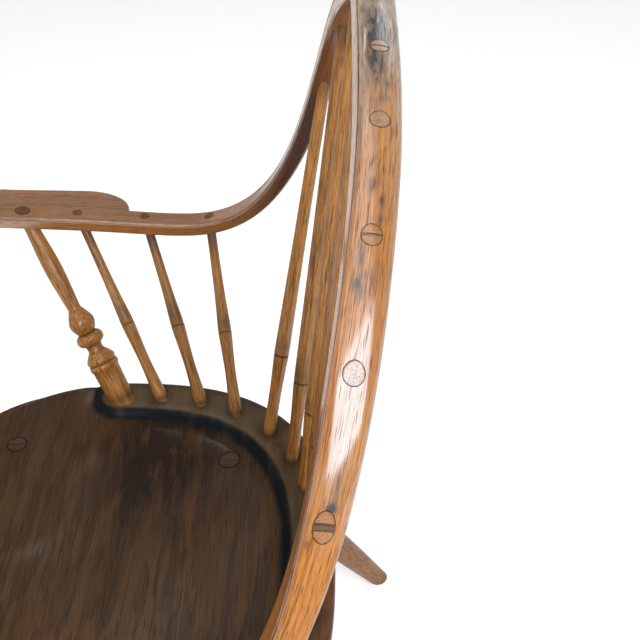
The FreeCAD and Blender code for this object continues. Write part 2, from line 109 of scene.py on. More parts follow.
def buildPiece(name, patches, materials, nodes):  # joins patches into one object for its CAD nodes
    points, grains, faces, finishes = [], [], [], []
    masks = {mask: [] for mask in maskNames}
    first = 0
    for item in patches:
        rows, columns = item["points"].shape[:2]
        here = first + np.arange(rows * columns).reshape(rows, columns)
        after = np.roll(here, -1, axis=1)
        first += rows * columns
        walls = np.stack([here[:-1], after[:-1], after[1:], here[1:]], axis=-1).reshape(-1, 4)
        lowEnd, highEnd = triples(after[0], here[0], first), triples(here[-1], after[-1], first + 1)
        first += 2
        faces += walls.tolist() + lowEnd.tolist() + highEnd.tolist()
        finishes.append(np.full(len(walls) + 2 * columns, item["finish"]))
        points += [item["points"].reshape(-1, 3), item["points"][[0, -1]].mean(axis=1)]
        grains += [item["grain"].reshape(-1, 3), item["grain"][[0, -1]].mean(axis=1)]
        for mask, layer in item["masks"].items():
            masks[mask] += [layer.ravel(), layer[[0, -1]].mean(axis=1)]
    mesh = bpy.data.meshes.new(name)
    mesh.from_pydata(np.concatenate(points).tolist(), [], faces)
    layer = mesh.attributes.new("grain", "FLOAT_VECTOR", "POINT")
    layer.data.foreach_set("vector", np.concatenate(grains).astype(np.float32).ravel())
    for mask in maskNames:
        layer = mesh.attributes.new(mask, "FLOAT", "POINT")
        layer.data.foreach_set("value", np.concatenate(masks[mask]).astype(np.float32))
    for material in materials:
        mesh.materials.append(material)
    mesh.polygons.foreach_set("material_index", np.concatenate(finishes).astype(np.int32))
    mesh.shade_smooth()
    mesh.set_sharp_from_angle(angle=creaseAngle)
    piece = placed(name, mesh)
    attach(piece, "root")
    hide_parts(*nodes)


# shader sockets as numbers: Python operators on a Wire add Math nodes
class Wire:
    def __init__(self, tree, socket=None):
        self.tree, self.socket = tree, socket

    def add(self, kind, settings=None, inputs=None, output=0):  # any node: settings, then values and links
        made = self.tree.nodes.new(kind)
        for key, value in (settings or {}).items():
            setattr(made, key, value)
        for key, value in (inputs or {}).items():
            if isinstance(value, Wire):
                self.tree.links.new(value.socket, made.inputs[key])
            else:
                made.inputs[key].default_value = value
        return Wire(self.tree, made.outputs[output])

    def math(self, operation, first, second=0.0, clamp=False):
        return self.add("ShaderNodeMath", {"operation": operation, "use_clamp": clamp}, {0: first, 1: second})

    def __add__(self, other):
        return self.math("ADD", self, other)

    def __radd__(self, other):
        return self.math("ADD", other, self)

    def __sub__(self, other):
        return self.math("SUBTRACT", self, other)

    def __rsub__(self, other):
        return self.math("SUBTRACT", other, self)

    def __mul__(self, other):
        return self.math("MULTIPLY", self, other)

    def __rmul__(self, other):
        return self.math("MULTIPLY", other, self)

    def __pow__(self, other):
        return self.math("POWER", self, other)

    def clamped(self):
        return self.math("ADD", self, 0.0, clamp=True)

    def fraction(self):
        return self.math("FRACT", self)

    def stepped(self, low, high):  # 0 at low, 1 at high, smooth between
        return self.add("ShaderNodeMapRange", {"interpolation_type": "SMOOTHSTEP"},
                        {"Value": self, "From Min": low, "From Max": high})

    def scaled(self, along, across):  # grain coordinates, multiplied along and across
        factors = (along, across, across)
        return self.add("ShaderNodeVectorMath", {"operation": "MULTIPLY"}, {0: self, 1: factors})

    def noise(self, detail, rough, twist=0.0):
        return self.add("ShaderNodeTexNoise", {}, {
            "Vector": self, "Scale": 1.0, "Detail": detail, "Roughness": rough, "Distortion": twist})

    def part(self, which):
        return self.add("ShaderNodeSeparateXYZ", {}, {"Vector": self}, which)

    def mixed(self, first, second):  # self is the share of the second colour
        return self.add("ShaderNodeMix", {"data_type": "RGBA"}, {0: self, 6: first, 7: second}, 2)


def setInputs(node, values):  # what is the same all over a surface
    for key, value in values.items():
        node.inputs[key].default_value = value


def tint(red, green, blue):  # screen values to linear light
    screen = np.array([red, green, blue]) / 255
    linear = np.where(screen <= 0.04045, screen / 12.92, ((screen + 0.055) / 1.055) ** 2.4)
    return (*linear.tolist(), 1.0)


# one recipe for every wood here: rings, fibres and pores drawn in the piece's own grain coordinates
def wood(name, look):
    material = bpy.data.materials.new(name)
    material.use_nodes = True
    tree = material.node_tree
    shader = tree.nodes["Principled BSDF"]
    start = Wire(tree)
    grain = start.add("ShaderNodeAttribute", {"attribute_name": "grain"}, None, "Vector")

    def painted(mask):
        return start.add("ShaderNodeAttribute", {"attribute_name": mask}, None, "Fac")

    def figured(layer):  # noise drawn out along the grain
        return grain.scaled(*look[layer + "Scale"]).noise(*look[layer + "Noise"])

    def banded(noise, layer):  # the part of a noise that shows
        return noise.stepped(*look[layer + "Band"])

    def broken(mask, noise):  # a painted mask, stronger where the noise is high
        least, more = look[mask + "Break"]
        return (painted(mask) * (least + more * noise)).clamped()

    drift, fibre, streak = figured("drift"), figured("fibre"), figured("streak")
    pores, blotchy = banded(figured("pore"), "pore"), banded(figured("blotch"), "blotch")
    across, deep = grain.part(1) + look["pith"][0], grain.part(2) + look["pith"][1]
    ring = ((across * across + deep * deep) ** 0.5 * look["rings"] + drift * look["ringDrift"]).fraction()
    stain, soot = broken("stain", blotchy), broken("soot", blotchy)
    layers = dict(
        late=banded(ring, "late") - banded(ring, "lateEnd"), drift=banded(drift, "drift"),
        streak=banded(streak, "streak"), pale=banded(fibre, "pale"),
        wear=painted("wear") * banded(figured("wear"), "wear"), pore=pores, shade=broken("shade", streak),
        stain=stain, soot=soot)
    colour = look["early"]
    for layer, strength in layers.items():  # each lies over those before it
        colour = (strength * look[layer + "Share"]).mixed(colour, look[layer])
    rough = look["rough"] + (fibre - 0.5) * look["fibreRough"] + pores * look["poreRough"]
    rough = rough + stain * look["stainRough"] + soot * look["sootRough"]
    whole = (1 - look["coatBreaks"] * banded(fibre, "bare")) * (1 - pores * look["poreBare"])
    coat = look["coat"] * whole * (1 - soot * look["sootBare"]) * (1 - painted("dry"))
    height = fibre * look["fibreHeight"] - pores * look["poreDepth"] + streak * look["streakHeight"]
    relief = start.add("ShaderNodeBump", {}, {
        "Height": height, "Strength": look["relief"], "Distance": look["reliefDepth"]})
    varied = {"Base Color": colour, "Roughness": rough.clamped(), "Coat Weight": coat.clamped(),
              "Normal": relief}
    for key, value in varied.items():
        tree.links.new(value.socket, shader.inputs[key])
    setInputs(shader, {"Coat Roughness": look["coatRough"], "Coat IOR": look["coatIor"],
                       "Specular IOR Level": look["gloss"]})
    return material


figure = dict(  # shared by all woods: scales along and across, noise detail and roughness, bands that show
    driftScale=(6, 40), driftNoise=(3, 0.55), driftBand=(0.4, 0.66), lateBand=(0.35, 0.9),
    lateEndBand=(0.93, 1.0), fibreNoise=(4, 0.65), paleBand=(0.42, 0.72), bareBand=(0.62, 0.40),
    streakNoise=(3, 0.6), streakBand=(0.5, 0.68), poreNoise=(1, 0.5), poreBand=(0.54, 0.68),
    wearScale=(50, 260), wearNoise=(3, 0.6), wearBand=(0.25, 0.6),
    blotchNoise=(4, 0.65, 0.3), blotchBand=(0.34, 0.58),
    shadeBreak=(0.55, 0.9), stainBreak=(0.5, 0.8), sootBreak=(0.85, 0.3), shadeShare=1.0, sootShare=1.0,
    fibreRough=0.3, poreRough=0.15, stainRough=0.1, sootRough=0.3, poreBare=0.7, sootBare=0.9,
    fibreHeight=0.4, poreDepth=0.8, streakHeight=0.2, reliefDepth=0.0004)
oak = dict(  # the bent bow and arms
    figure, pith=(0.03, 0.045), rings=420, ringDrift=2.2, fibreScale=(24, 1500), streakScale=(6, 150),
    poreScale=(90, 2100), blotchScale=(90, 420), early=tint(171, 103, 42), late=tint(135, 74, 27),
    lateShare=0.65, drift=tint(137, 78, 30), driftShare=0.6, streak=tint(94, 51, 20), streakShare=0.55,
    pale=tint(193, 129, 64), paleShare=0.45, pore=tint(60, 33, 16), poreShare=0.55,
    # the wear tint's grey also paints sheen round the crest and a highlight lower on the bow; the shade tint
    # paints shade on the bow's insides, the spindles and the legs
    wear=tint(152, 138, 121), wearShare=0.85, shade=tint(70, 42, 25), stain=tint(44, 45, 46),
    stainShare=0.92, soot=tint(28, 19, 13), rough=0.42, relief=0.5, coat=1.0, coatBreaks=0.3,
    coatRough=0.17, coatIor=2.15, gloss=0.05)
honey = dict(  # spindles
    oak, pith=(0.012, 0.02), rings=520, fibreScale=(24, 1000), streakScale=(26, 330), poreScale=(80, 1100),
    early=tint(166, 106, 46), late=tint(126, 74, 30), drift=tint(134, 80, 34), streak=tint(84, 47, 20),
    streakShare=0.85, pale=tint(196, 136, 66), paleShare=0.75, pore=tint(52, 28, 12), poreShare=0.4,
    wear=tint(188, 132, 72), wearShare=0.4, relief=0.8, coat=0.4, coatIor=1.5, gloss=0.2)
turnery = dict(  # posts, legs and stretchers
    honey, rings=380, early=tint(156, 98, 42), late=tint(116, 68, 28), drift=tint(122, 73, 31),
    pale=tint(180, 120, 58), poreShare=0.3, coat=0.6, gloss=0.1)
plank = dict(  # the seat
    oak, pith=(0.09, 0.35), rings=42, ringDrift=3.0, fibreScale=(24, 700), streakScale=(2, 90),
    poreScale=(30, 900), blotchScale=(12, 50), early=tint(74, 50, 27), late=tint(47, 30, 17),
    lateShare=0.7, drift=tint(64, 38, 20), driftShare=0.4, streak=tint(38, 25, 14), streakShare=0.5,
    pale=tint(89, 63, 36), paleShare=0.35, pore=tint(20, 14, 10), poreShare=0.4, wear=tint(142, 84, 52),
    # the stain tint also paints the dark reflection in the dish
    wearShare=0.9, shade=tint(90, 72, 50), stain=tint(27, 18, 12), stainShare=0.9, soot=tint(11, 14, 17),
    rough=0.40, relief=0.2, coat=0.55, coatBreaks=0.25, coatRough=0.15, coatIor=1.5, gloss=0.1)
endGrain = dict(  # tenon ends in the bow and arms
    oak, pith=(0.02, 0.02), rings=900, fibreScale=(24, 2600), early=tint(162, 101, 52),
    late=tint(132, 80, 39), drift=tint(140, 87, 44), pale=tint(178, 122, 70), streakShare=0.3, rough=0.5)
wedgeGrain = dict(  # wedges in those ends
    endGrain, early=tint(96, 58, 30), late=tint(76, 45, 23), drift=tint(82, 50, 26), pale=tint(108, 69, 38))
seatTenon = dict(  # leg ends in the seat
    plank, pith=(0.01, 0.015), rings=500, fibreScale=(24, 2200), early=tint(74, 50, 33),
    late=tint(52, 34, 22), pale=tint(88, 62, 42))
seatWedge = dict(plank, rings=300, early=tint(62, 41, 26), late=tint(50, 32, 20))

bowWood = wood("bowWood", oak)
spindleWood = wood("spindleWood", honey)
turnedWood = wood("turnedWood", turnery)
seatWood = wood("seatWood", plank)
tenonWood = wood("tenonWood", endGrain)
wedgeWood = wood("wedgeWood", wedgeGrain)
seatTenonWood = wood("seatTenonWood", seatTenon)
seatWedgeWood = wood("seatWedgeWood", seatWedge)
print("woods mixed")


# the bent stick: bow in the middle, an arm at each end
bow = dict(
    deckHeight=0.430, seatSide=0.246,
    crestPoles=[(0, 0.2165, 0.5325), (0.062, 0.217, 0.526), (0.122, 0.2155, 0.5075), (0.177, 0.2095, 0.477)],
    sidePoles=[(-0.016, 0.201, 0.440), (0.020, 0.187, 0.376), (0.030, 0.165, 0.295),
               (0.038, 0.129, 0.221), (0.043, 0.072, 0.1815), (0.051, -0.005, 0.181),
               (0.058, -0.095, 0.182), (0.060, -0.206, 0.182)],
    thickness=0.021, depth=0.024, crown=0.003, armWidth=0.025, armThickness=0.0135, armCrown=0.0006,
    backLean=math.radians(12), flattenFrom=0.200, bendFrom=0.296, bendTo=0.523, beadRadius=0.0022,
    backRadius=0.0050, innerRadius=0.0026, cornerShares=(0.98, 0.6), quirkInset=0.0046, quirkWidth=0.0010,
    quirkDepth=0.0018, quirkDirt=0.0013, quirkStops=(0.46, 0.52), rows=560,
    frontColumns=[(-1, 0.45, 6), (0.5, 1, 19)], sideColumns=15, cornerColumns=7)  # close by the quirk
front = np.array([0, -math.cos(bow["backLean"]), math.sin(bow["backLean"])])  # the way the back faces
measured = 12001  # points on a curve when its length is measured


def stickPoles():  # the half list of poles, mirrored over the chair's middle
    crest = np.array(bow["crestPoles"], float)
    side = np.array(bow["sidePoles"], float) + (bow["seatSide"], 0, 0)
    half = np.concatenate([crest, side]) + (0, 0, bow["deckHeight"])
    return np.concatenate([half[:0:-1] * (-1, 1, 1), half])


def splinePoints(poles, parameter):  # clamped uniform cubic spline: shares of the poles, degree by degree
    spans = len(poles) - 3
    knots = np.concatenate([np.zeros(3), np.arange(spans + 1), np.full(3, spans)])
    place = np.clip(parameter, 0, spans - 1e-9)[..., None]  # the end belongs to the last span
    share = ((place >= knots[:-1]) & (place < knots[1:])).astype(float)
    for degree in (1, 2, 3):
        rise = knots[degree:-1] - knots[:-degree - 1]
        fall = knots[degree + 1:] - knots[1:-degree]
        up = np.where(rise > 0, (place - knots[:-degree - 1]) / np.where(rise > 0, rise, 1), 0)
        down = np.where(fall > 0, (knots[degree + 1:] - place) / np.where(fall > 0, fall, 1), 0)
        share = up * share[..., :-1] + down * share[..., 1:]
    return share @ poles


poles = stickPoles()
finePlace = np.linspace(0, len(poles) - 3, measured)
fineSteps = np.linalg.norm(np.diff(splinePoints(poles, finePlace), axis=0), axis=1)
fineLength = np.concatenate([[0], np.cumsum(fineSteps)])
halfLength = fineLength[-1] / 2


def stickMiddle(distance):  # point of the middle line, so far from the crest, plus to the sitter's left
    return splinePoints(poles, np.interp(distance + halfLength, fineLength, finePlace))


def stickFrame(distance):  # middle, then along, outward and facing; the bow's front turns to the arm's top
    step = 0.0005
    middle = stickMiddle(distance)
    along = unit(stickMiddle(distance + step) - stickMiddle(distance - step))
    turn = ease(np.abs(distance), bow["bendFrom"], bow["bendTo"])[..., None]
    facing = blend(front, np.array([0, 0, 1.0]), turn)
    facing = unit(facing - carry(along, dot(facing, along)))
    return middle, along, np.cross(facing, along), facing


def stickSizes(distance):  # half thickness, half depth and crown of the section
    share = ease(np.abs(distance), bow["flattenFrom"], bow["bendTo"])
    halfThick = blend(bow["thickness"], bow["armWidth"], share) / 2
    halfDeep = blend(bow["depth"], bow["armThickness"], share) / 2
    return halfThick, halfDeep, blend(bow["crown"], bow["armCrown"], share)


def stickAtY(y):  # distance along the left arm at which its middle line passes y
    reach = np.linspace(bow["bendFrom"], halfLength, measured)
    return np.interp(-y, -stickMiddle(reach)[:, 1], reach)


# the hands: arm and pad share one outline, a quarter ellipse, a cheek and a round nose
hand = dict(
    padWidth=0.036, startY=-0.023, fullY=-0.076, cheekY=-0.158, endY=-0.202, draft=0.001, lap=0.002,
    noseShare=0.55, edgeRadius=0.0045, glue=0.0004, cornerShares=(0.98, 0.9), tip=1e-5, startAngle=0.06,
    curveRows=40, cheekRows=30, grainShift=0.5, glueDirt=0.25, paler=0.4, dull=0.3)
armX = stickMiddle(stickAtY(hand["fullY"]))[0]
gluedX = armX + bow["armWidth"] / 2
padX = gluedX + hand["padWidth"]
insideX = armX - bow["armWidth"]
noseX = blend(insideX, padX, hand["noseShare"])
handX, chord = (padX + insideX) / 2, (padX - insideX) / 2
nose = hand["cheekY"] - hand["endY"]
handRise = (chord ** 2 - (noseX - handX) ** 2 - nose ** 2) / (2 * nose)  # circle's middle, behind the cheek
handY = hand["cheekY"] + handRise
handRadius = math.hypot(chord, handRise)
noseEndY = handY - math.sqrt(handRadius ** 2 - (gluedX - handX) ** 2)
noseRows = np.sin(np.linspace(0, math.pi / 2, hand["curveRows"]))[1:]  # closer towards the tip


def handHalf(y):  # half the width of the round nose at y
    return np.clip(handRadius ** 2 - (y - handY) ** 2, 0, None) ** 0.5


def aroundSection():  # a rounded oblong as corner shares across and deep, and the angle its skin faces
    scribed = np.concatenate([np.linspace(*run) for run in bow["frontColumns"]])
    flat, corner = np.linspace(-1, 1, bow["sideColumns"]), np.linspace(0, 1, bow["cornerColumns"])[1:-1]
    sparse = flat[::2]
    wide, rest, still, one = (np.ones_like(part) for part in (scribed, flat, sparse, corner))
    sides = [  # front, outside, back and inside, each with the corner after it
        (scribed, wide, wide), (one, one, 1 - corner),
        (rest, -flat, 0 * rest), (one, -one, -corner),
        (-sparse, -still, -still), (-one, -one, -1 - corner),
        (-still, sparse, -2 * still), (-one, one, 2 - corner)]
    across, deep, quarters = (np.concatenate(parts) for parts in zip(*sides))
    return across, deep, quarters * math.pi / 2


def cornerRadius(radius, halfWide, halfDeep, shares):  # never more than these shares of the section
    return np.minimum(np.minimum(radius, halfWide * shares[0]), halfDeep * shares[1])


def stickSurface(distance):  # rounded oblong carried along the middle line, domed outside, scribed in front
    middle, along, outward, facing = (part[:, None] for part in stickFrame(distance))
    halfThick, halfDeep, crown = (part[:, None] for part in stickSizes(distance))
    across, deep, angle = aroundSection()
    y = middle[..., 1]
    inner = np.maximum(-halfThick, handX - handHalf(y) - np.abs(middle[..., 0]))  # the nose rounds it
    low = np.where(y < hand["cheekY"], inner, -halfThick)
    halfWide, shift = (halfThick - low) / 2, (halfThick + low) / 2
    bead, back = (deep > 0) & (across > 0), (deep < 0) & (across > 0)
    radius = np.where(bead, bow["beadRadius"], np.where(back, bow["backRadius"], bow["innerRadius"]))
    radius = cornerRadius(radius, halfWide, halfDeep, bow["cornerShares"])
    out = shift + across * (halfWide - radius) + radius * np.cos(angle)
    face = deep * (halfDeep - radius) + radius * np.sin(angle)
    out = out + crown * (1 - (face / halfDeep) ** 2) * limit(np.cos(angle))
    onFront = (np.sin(angle) > 0.5) * (1 - ease(np.abs(distance), *bow["quirkStops"])[:, None])
    fromQuirk = out - halfThick + bow["quirkInset"]
    face = face - hump(fromQuirk, 0, bow["quirkWidth"], bow["quirkDepth"]) * onFront
    points = middle + carry(outward, out) + carry(facing, face)
    scribe = hump(fromQuirk, 0, bow["quirkDirt"]) * onFront
    return points, triples(distance[:, None], out, face), scribe, angle, face / halfDeep


# the seat's sizes, and where each spindle's foot stands on its deck
seat = dict(
    thickness=0.044, halfWidth=bow["seatSide"], rearDepth=0.235, frontDepth=0.205, middleY=-0.037,
    squareness=2.67, edge=0.020, underInset=0.022, deckWidth=0.046, deckFrontY=-0.066, deckEndRadius=0.024,
    gutterDepth=0.003, gutterFall=(-0.0035, 0.0060), groove=(0.0060, 0.0080, 0.0016),
    grooveEnds=(0.070, 0.120), dishDepth=0.012, dishX=(0, 0.150), dishY=(0.020, 0.130),
    frontFall=0.012, fallRun=(0.050, 0.180), pommel=(0, 0.045, 0.7), edgeRound=0.006, around=640,
    firstAngle=0.004, chamferShare=0.6, roundRows=7, deckRows=(0.040, 16), gutterRows=(0.0412, 0.066, 30),
    dishRows=(0.070, 0.192, 36),
    underRows=[(0.138, 0), (0.038, 0), (0.004, 0), (0, -0.001)],  # in from the chamfer, below the underside
    edgeRows=[(0.0022, 0.003), (0.0006, 0), (0, -0.003), (0, -0.005)])  # in from the outline, below the edge
spindle = dict(
    inset=0.024, waistHeight=0.042, topStraight=0.030, inDeck=0.012, upperBelly=(0.45, 0.7),
    back=dict(foot=0.0068, waist=0.0063, node=0.0078, nodeHeight=0.096, top=0.0056, scored=0.85, dull=0.10),
    arm=dict(foot=0.0075, waist=0.0058, node=0.0072, nodeHeight=0.092, top=0.0048, scored=0.5, dull=0.28),
    grooveWidth=0.0010, grooveDepth=0.0011, grooveRows=(-0.004, 0.004, 17), around=32,
    backFeet=(0.019, 0.057, 0.0955, 0.136, 0.182), backTops=(0.0465, 0.104, 0.172, 0.2415, 0.3225),
    armFeet=(0.230, 0.2725, 0.318), armTops=(0.065, -0.0025, -0.073),
    wedges={1: 0.0010, 3: 0.0014, 5: 0.0027},  # wedged back spindles, counted from the middle: wedge width
    ringDirt=(0, 0.0012), footDirt=(0, 0.004, 0.6), handled=(0.02, 0.03),  # place, reach and strength
    topDark=(-0.012, 0.02, 0.5), ringShade=(0.012, 0.014, 0.4), toneSwing=0.1, toneStep=2.4)


def outlinePoint(angle, inset):  # the seat's rounded outline, a superellipse drawn in by inset
    power = 2 / seat["squareness"]
    depth = np.where(np.sin(angle) > 0, seat["rearDepth"], seat["frontDepth"]) - inset
    x = (seat["halfWidth"] - inset) * np.sign(np.cos(angle)) * np.abs(np.cos(angle)) ** power
    y = depth * np.sign(np.sin(angle)) * np.abs(np.sin(angle)) ** power
    return x, seat["middleY"] + y


def deckPoint(distance):  # so far along the line of feet from the chair's middle
    x, y = outlinePoint(np.linspace(math.pi / 2, -math.pi / 2, measured), spindle["inset"])
    run = np.concatenate([[0], np.cumsum(np.hypot(np.diff(x), np.diff(y)))])
    return np.array([np.interp(distance, run, x), np.interp(distance, run, y), bow["deckHeight"]])


sides = {"left": np.array([1.0, 1.0, 1.0]), "right": np.array([-1.0, 1.0, 1.0])}
spindleTops = dict(back=spindle["backTops"], arm=[stickAtY(y) for y in spindle["armTops"]])
spindleLines = {}
for side, flip in sides.items():
    for kind, tops in spindleTops.items():
        for number, (foot, top) in enumerate(zip(spindle[kind + "Feet"], tops), 1):
            name = "%s_%s_spindle_%d" % (side, kind, number)
            spindleLines[name] = (deckPoint(foot) * flip, flip[0] * top, kind)


# turned work
turning = dict(flowRows=14, taperStep=0.005, arcRows=17, wobble=0.012, wobbleTwist=23, dirtBend=700,
               dirt=0.75, grainStep=(0.37, 0.061, 0.043), grainSteps=17)


def smoothCurve(heights, radii, count):  # cubic curve through the points with slopes from their neighbours
    slope = np.gradient(radii, heights)
    t = np.linspace(heights[0], heights[-1], count)
    k = np.clip(np.searchsorted(heights, t, side="right") - 1, 0, len(heights) - 2)
    span = heights[k + 1] - heights[k]
    u = (t - heights[k]) / span
    r = ((1 + 2 * u) * (1 - u) ** 2 * radii[k] + u * (1 - u) ** 2 * span * slope[k]
         + u * u * (3 - 2 * u) * radii[k + 1] + u * u * (u - 1) * span * slope[k + 1])
    return t, r


def turnedProfile(height, radius, steps):  # tapers, beads, coves and flowing curves, one after another
    heights, radii = [np.array([height])], [np.array([radius])]
    for kind, run, size in steps:
        if kind == "flow":  # size lists radii at shares of the run
            shares, sizes = np.array([(0, radius)] + size).T
            t, r = smoothCurve(shares * run, sizes, turning["flowRows"] * len(size))
        elif kind == "taper":  # size is the radius at its end
            t = np.linspace(0, run, max(2, int(run / turning["taperStep"])))
            r = np.linspace(radius, size, len(t))
        else:  # a bead or a cove is a circle's arc, out or in by size
            t = np.linspace(0, run, turning["arcRows"])
            arc = (run ** 2 / 4 + size ** 2) / (2 * size)
            rise = np.sqrt(arc ** 2 - (t - run / 2) ** 2) - (arc - size)
            r = radius + (rise if kind == "bead" else -rise)
        heights.append(height + t[1:])
        radii.append(r[1:])
        height, radius = height + t[-1], r[-1]
    return np.concatenate(heights), np.concatenate(radii)


def runLength(steps):  # the steps' lengths, summed
    return sum(run for kind, run, size in steps)


def between(low, high, shares):  # a list of (share of the run, share from low to high) as radii
    return [(place, blend(low, high, share)) for place, share in shares]


def axisFrame(foot, top):  # directions along an axis and twice across it
    along = unit(top - foot)
    aside = np.array([1.0, 0, 0]) if abs(along[1]) > 0.9 else np.array([0, 1.0, 0])  # well off the axis
    side = unit(np.cross(along, aside))
    return along, side, np.cross(along, side)


def lathe(foot, top, heights, radii, around, seed):  # profile turned about the line from foot to top
    along, side, other = axisFrame(foot, top)
    angle, t = circle(around), np.repeat(heights[:, None], around, axis=1)
    wobble = np.sin(2 * angle + turning["wobbleTwist"] * t + seed)  # hand work is never quite round
    radius = radii[:, None] * (1 + turning["wobble"] * wobble)
    x, y = radius * np.cos(angle), radius * np.sin(angle)
    points = foot + carry(along, t) + carry(side, x) + carry(other, y)
    return points, triples(t, x, y) + np.array(turning["grainStep"]) * (seed % turning["grainSteps"]), t


def crevices(heights, radii):  # dirt gathers where the profile turns in
    bend = np.gradient(np.gradient(radii, heights), heights)
    return limit(bend / turning["dirtBend"])[:, None] * turning["dirt"]


# ends of tenons, in rings from the rim in, and the wedges across them
tenon = dict(rings=(1.0, 1.0, 0.97, 0.9, 0.75, 0.5, 0.25), around=48, sunk=0.0012, proud=0.00015, domed=8,
             rim=(0.86, 0.985), armDirt=0.6, greyed=0.8, greyFade=(0.08, 0.15))
wedge = dict(rows=15, section=(-1, -0.6, 0, 0.6, 1, 1, -1), reach=0.95, edgeDirt=0.8, grainDeep=0.2,
             lifts=(0.0002, 0.00028, 0.0003, 0.00028, 0.0002, -tenon["sunk"], -tenon["sunk"]))
endShares = np.array(tenon["rings"])[:, None]
slides = 8  # tries at laying points on a skin


def ontoStick(points, direction, distance, kind):  # slides points along direction to the stick's skin
    place = np.full(points.shape[:-1], distance)
    for _ in range(slides):
        middle, along, outward, facing = stickFrame(place)
        place = place + dot(points - middle, along)
        middle, along, outward, facing = stickFrame(place)
        halfThick, halfDeep, crown = stickSizes(place)
        out, face = dot(points - middle, outward), dot(points - middle, facing)
        if kind == "back":  # through the domed outside of the bow
            short, normal = halfThick + crown * (1 - np.clip(face / halfDeep, -1, 1) ** 2) - out, outward
        else:  # through the top of the arm
            short, normal = halfDeep - face, facing
        points = points + carry(direction, short / dot(normal, direction))
    return points, normal


def endRings(foot, top, radius, around):  # circles about the tenon's axis, as shares of its radius
    along, side, other = axisFrame(foot, top)
    x, y = radius * endShares * np.cos(circle(around)), radius * endShares * np.sin(circle(around))
    return top + carry(side, x) + carry(other, y), along, x, y


def tenonEnd(foot, top, radius, distance, kind):  # the round end of a tenon, flush with the stick
    rings, along, x, y = endRings(foot, top, radius, tenon["around"])
    points, normal = ontoStick(rings, along, distance, kind)
    lift = tenon["proud"] * (1 - endShares ** tenon["domed"])
    lift[0] = -tenon["sunk"]
    rim = np.maximum(ease(endShares, *tenon["rim"]), tenon["armDirt"] * (kind == "arm"))
    greyed = tenon["greyed"] * (1 - ease(abs(distance), *tenon["greyFade"]))
    return patch(points + carry(normal, lift), triples(distance, x, y), 1, soot=rim, wear=greyed)


def wedgeBar(foot, top, radius, width, across):  # a flat bar: rows along it, columns round its section
    along = unit(top - foot)
    across = unit(across - along * dot(across, along))
    u, v = np.linspace(-1, 1, wedge["rows"])[:, None], np.array(wedge["section"])[None]
    x, y = np.broadcast_arrays(radius * wedge["reach"] * u, v * width / 2)
    bar = top + carry(across, x) + carry(np.cross(along, across), y)
    return bar, along, x, y, np.array(wedge["lifts"])[None], np.abs(v) ** 3 * wedge["edgeDirt"]


def stickWedge(foot, top, radius, width, distance, kind, across):  # a wedge laid on the stick's skin
    bar, along, x, y, lift, edge = wedgeBar(foot, top, radius, width, across)
    points, normal = ontoStick(bar, along, distance, kind)
    return patch(points + carry(normal, lift), triples(x + distance, y, wedge["grainDeep"]), soot=edge)


# spindles
def spindleProfile(length, size):  # thick foot, slim waist, swelling with a scored ring, slender top
    lower, upper = size["nodeHeight"], length - size["nodeHeight"] - spindle["topStraight"]
    heights, radii = turnedProfile(-spindle["inDeck"], size["foot"], [
        ("taper", spindle["inDeck"], size["foot"]),
        ("flow", lower, [(spindle["waistHeight"] / lower, size["waist"]), (1, size["node"])]),
        ("flow", upper, between(size["node"], size["top"], [spindle["upperBelly"], (1, 1)])),
        ("taper", spindle["topStraight"], size["top"])])
    every = np.unique(np.concatenate([heights, lower + np.linspace(*spindle["grooveRows"])]))
    groove = spindle["grooveDepth"] * size["scored"] * hump(every, lower, spindle["grooveWidth"])
    return every, np.interp(every, heights, radii) - groove


bowWedges = []
for number, (name, (foot, distance, kind)) in enumerate(spindleLines.items()):
    top, size = stickMiddle(np.array(distance)), spindle[kind]
    heights, radii = spindleProfile(np.linalg.norm(top - foot), size)
    points, grain, t = lathe(foot, top, heights, radii, spindle["around"], number + 1)
    fromRing = t - size["nodeHeight"]
    dirt = limit(hump(fromRing, *spindle["ringDirt"], size["scored"]) + hump(t, *spindle["footDirt"]))
    # painted shade: darker just under the bow and just above the scored ring; each kind and each spindle also
    # differs in tone
    shadeAndTone = hump(t - heights[-1], *spindle["topDark"]) + hump(fromRing, *spindle["ringShade"])
    shadeAndTone = shadeAndTone + size["dull"]
    shadeAndTone = shadeAndTone + spindle["toneSwing"] * math.sin(spindle["toneStep"] * number)  # no two the same tone
    patches = [patch(points, grain, soot=dirt, wear=hump(fromRing, *spindle["handled"]), shade=shadeAndTone),
               tenonEnd(foot, top, size["top"], distance, kind)]
    buildPiece("spindle_" + name, patches, [spindleWood, tenonWood], [name])
    width = spindle["wedges"].get(int(name[-1])) if kind == "back" else None
    if width:
        bowWedges.append(stickWedge(foot, top, size["top"], width, distance, kind, front))
buildPiece("bow_tenon_wedges", bowWedges, [wedgeWood], ["bow_wedges"])
print("spindles turned:", len(spindleLines))
